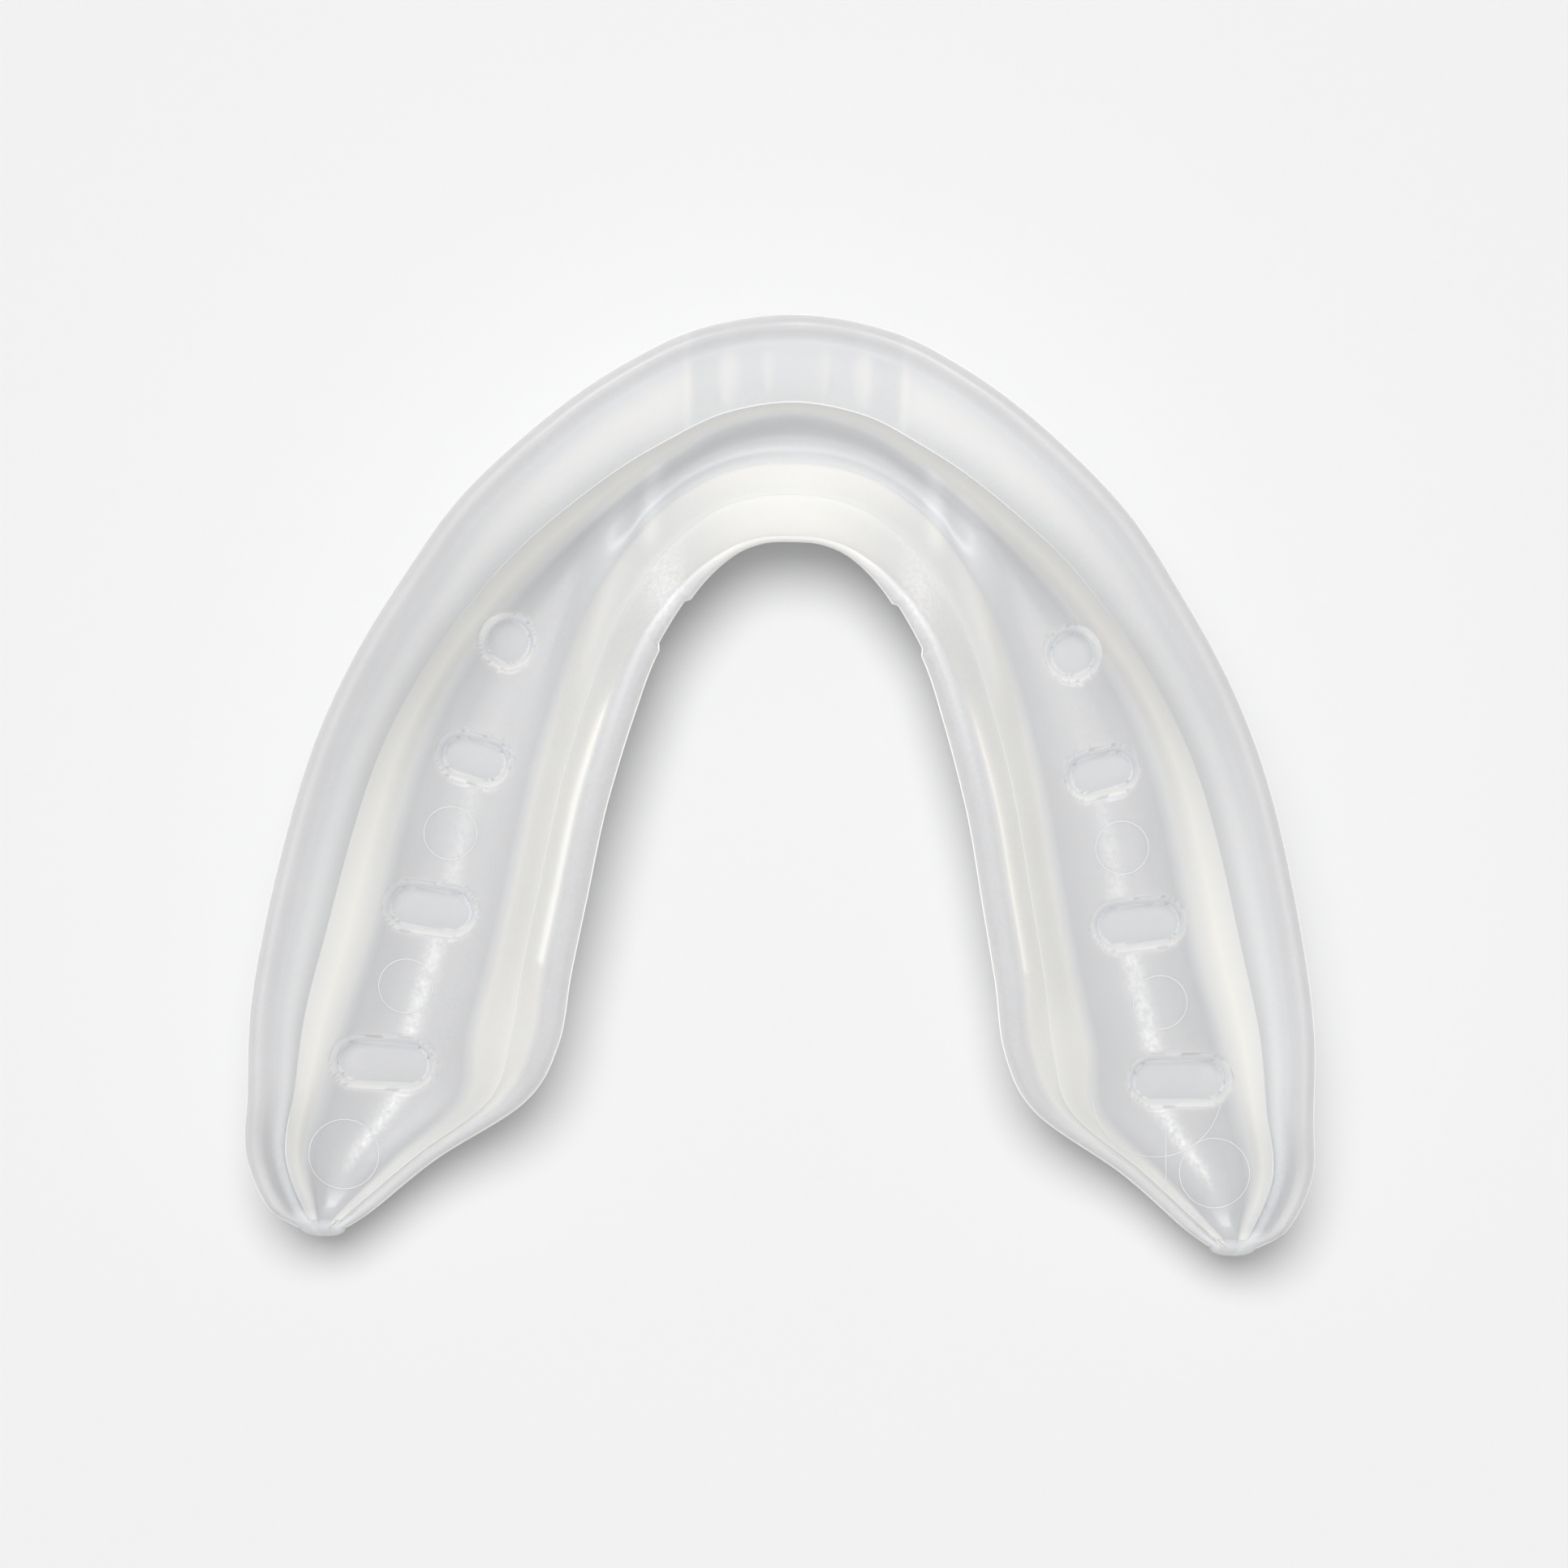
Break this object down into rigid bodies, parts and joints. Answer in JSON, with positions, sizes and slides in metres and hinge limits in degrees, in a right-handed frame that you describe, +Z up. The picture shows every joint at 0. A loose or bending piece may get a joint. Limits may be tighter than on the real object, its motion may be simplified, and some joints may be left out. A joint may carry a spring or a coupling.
{
  "type": "boil-and-bite mouthguard",
  "caption": "Upper-arch sports mouthguard: U-shaped channel tray with tall lip-side flange, low tongue-side wall and a bonded fitting liner with eight shallow wells.",
  "frame": {"origin": "bottom centre of the bounding box, on the flat underside", "axes": "+X across the arch to the wearer's left, +Y towards the front teeth, +Z up out of the tooth channel"},
  "size_m": [0.0642, 0.0556, 0.02],
  "materials": {
    "frosted_shell": "translucent frosted colourless EVA, moulded, satin",
    "clear_liner": "translucent milky colourless EVA, smooth, softens in hot water"
  },
  "bodies": {
    "root": {"outer_shell": "frosted_shell", "fit_liner": "clear_liner"}
  },
  "joints": []
}
